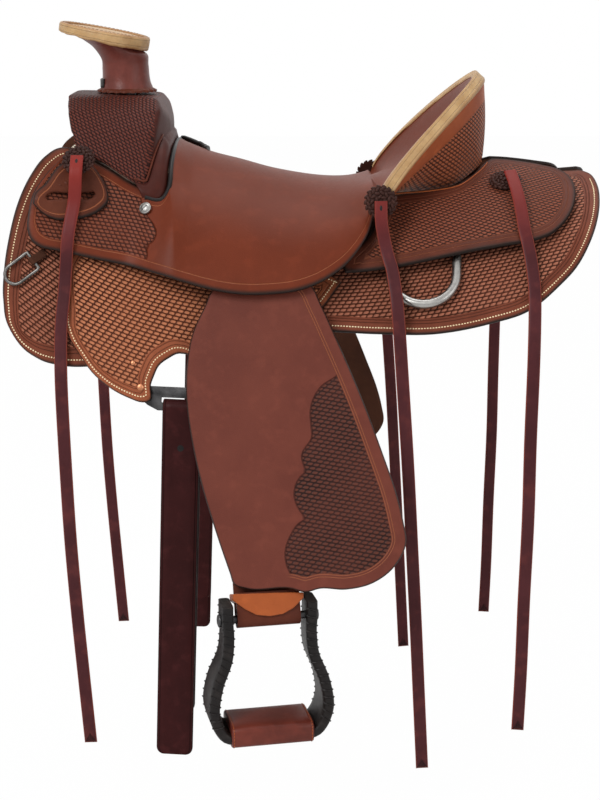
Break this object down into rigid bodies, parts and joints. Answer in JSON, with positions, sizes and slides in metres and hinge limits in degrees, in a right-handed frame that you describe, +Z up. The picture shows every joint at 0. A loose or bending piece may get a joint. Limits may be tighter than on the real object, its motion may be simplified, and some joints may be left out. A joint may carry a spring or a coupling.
{
  "type": "western ranch saddle",
  "caption": "Stock saddle with wide fork, wrapped horn, low cantle, swinging fenders and stirrups, rigging and tie strings.",
  "frame": {"origin": "on the centre plane at the horse's spine under the seat, where the two halves of the horse's back meet", "axes": "+Z up, -X towards the horse's head, -Y towards the horse's near (left) side"},
  "size_m": [0.695, 0.6722, 0.8758],
  "materials": {
    "seat_leather_brown": "smooth polished saddle leather",
    "neck_leather": "smooth leather stretched over the horn",
    "stamped_dark_brown": "basket stamped leather, dark",
    "stamped_orange_brown": "basket stamped leather, lighter",
    "fender_brown": "smooth and basket stamped leather",
    "rawhide_cream": "rawhide lacing and binding",
    "tree_wood": "rawhide covered wood",
    "woolskin": "woolskin pile",
    "latigo_burgundy": "oiled latigo leather",
    "string_burgundy": "latigo string leather",
    "hobble_orange": "smooth russet leather",
    "black_leather": "black leather over bent wood",
    "tread_brown": "smooth brown leather",
    "stainless_steel": "polished stainless steel",
    "blued_steel": "dark blued steel"
  },
  "bodies": {
    "saddle": {"cantle_back": "stamped_dark_brown", "cantle_binding": "rawhide_cream", "concho_near": "stainless_steel", "concho_off": "stainless_steel", "fleece_near": "woolskin", "fleece_off": "woolskin", "fork_cover": "stamped_dark_brown", "front_dee_tab_near": "stamped_dark_brown", "front_dee_tab_off": "stamped_dark_brown", "ground_seat": "tree_wood", "horn_binding": "rawhide_cream", "horn_cap": "seat_leather_brown", "horn_core": "blued_steel", "horn_wrap": "neck_leather", "latigo_keeper": "stamped_orange_brown", "rear_dee_strap_near": "latigo_burgundy", "rear_dee_strap_off": "latigo_burgundy", "rear_jockey_near": "stamped_dark_brown", "rear_jockey_off": "stamped_dark_brown", "rigging_leather_near": "stamped_orange_brown", "rigging_leather_off": "stamped_orange_brown", "rigging_plate_near": "blued_steel", "rigging_plate_off": "blued_steel", "rosette_front_near": "black_leather", "rosette_front_off": "black_leather", "rosette_middle_near": "black_leather", "rosette_middle_off": "black_leather", "rosette_rear_near": "black_leather", "rosette_rear_off": "black_leather", "seat_leather": "seat_leather_brown", "skirt_near": "stamped_orange_brown", "skirt_off": "stamped_orange_brown", "string_front_near": "string_burgundy", "string_front_off": "string_burgundy", "string_middle_near": "string_burgundy", "string_middle_off": "string_burgundy", "string_rear_near": "string_burgundy", "string_rear_off": "string_burgundy", "tree_bar_near": "tree_wood", "tree_bar_off": "tree_wood", "tree_cantle": "tree_wood", "tree_fork": "tree_wood"},
    "near_fender": {"fender_near": "fender_brown", "stirrup_keeper_near": "hobble_orange", "stirrup_leather_near": "fender_brown"},
    "off_fender": {"fender_off": "fender_brown", "stirrup_keeper_off": "hobble_orange", "stirrup_leather_off": "fender_brown"},
    "near_front_dee": {"front_dee_near": "stainless_steel"},
    "off_front_dee": {"front_dee_off": "stainless_steel"},
    "near_billet": {"latigo": "latigo_burgundy"},
    "off_side_billet": {"off_billet": "latigo_burgundy"},
    "near_rear_dee": {"rear_dee_near": "stainless_steel"},
    "off_rear_dee": {"rear_dee_off": "stainless_steel"},
    "near_stirrup": {"stirrup_bolt_near": "stainless_steel", "stirrup_frame_near": "black_leather", "stirrup_tread_near": "tread_brown"},
    "off_stirrup": {"stirrup_bolt_off": "stainless_steel", "stirrup_frame_off": "black_leather", "stirrup_tread_off": "tread_brown"}
  },
  "joints": [
    {"name": "near_fender_swing", "type": "hinge", "parent": "saddle", "child": "near_fender", "pos_m": [-0.03, -0.1774, -0.072], "axis": [0, -0.9397, 0.342], "range_deg": [-20, 20]},
    {"name": "near_stirrup_turn", "type": "hinge", "parent": "near_fender", "child": "near_stirrup", "pos_m": [-0.036, -0.29489, -0.4299], "axis": [0.9781, 0.2079, 0], "range_deg": [-60, 8]},
    {"name": "near_billet_swing", "type": "hinge", "parent": "saddle", "child": "near_billet", "pos_m": [-0.13457, -0.20639, -0.20996], "axis": [0.9982, -0.0478, -0.035], "range_deg": [-5, 30]},
    {"name": "near_rear_dee_turn", "type": "hinge", "parent": "saddle", "child": "near_rear_dee", "pos_m": [0.144, -0.13563, -0.04291], "axis": [0.9956, -0.0939, 0], "range_deg": [-7, 0]},
    {"name": "near_front_dee_turn", "type": "hinge", "parent": "saddle", "child": "near_front_dee", "pos_m": [-0.3055, -0.16264, -0.04649], "axis": [0.6045, -0.2184, -0.7661], "range_deg": [-80, 0]},
    {"name": "off_fender_swing", "type": "hinge", "parent": "saddle", "child": "off_fender", "pos_m": [-0.03, 0.1774, -0.072], "axis": [0, 0.9397, 0.342], "range_deg": [-20, 20]},
    {"name": "off_stirrup_turn", "type": "hinge", "parent": "off_fender", "child": "off_stirrup", "pos_m": [-0.036, 0.29489, -0.4299], "axis": [0.9781, -0.2079, 0], "range_deg": [-8, 60]},
    {"name": "off_billet_swing", "type": "hinge", "parent": "saddle", "child": "off_side_billet", "pos_m": [-0.13457, 0.20639, -0.20996], "axis": [0.9982, 0.0478, -0.035], "range_deg": [-30, 5]},
    {"name": "off_rear_dee_turn", "type": "hinge", "parent": "saddle", "child": "off_rear_dee", "pos_m": [0.144, 0.13563, -0.04291], "axis": [0.9956, 0.0939, 0], "range_deg": [0, 7]},
    {"name": "off_front_dee_turn", "type": "hinge", "parent": "saddle", "child": "off_front_dee", "pos_m": [-0.3055, 0.16264, -0.04649], "axis": [0.6045, 0.2184, -0.7661], "range_deg": [0, 80]}
  ]
}
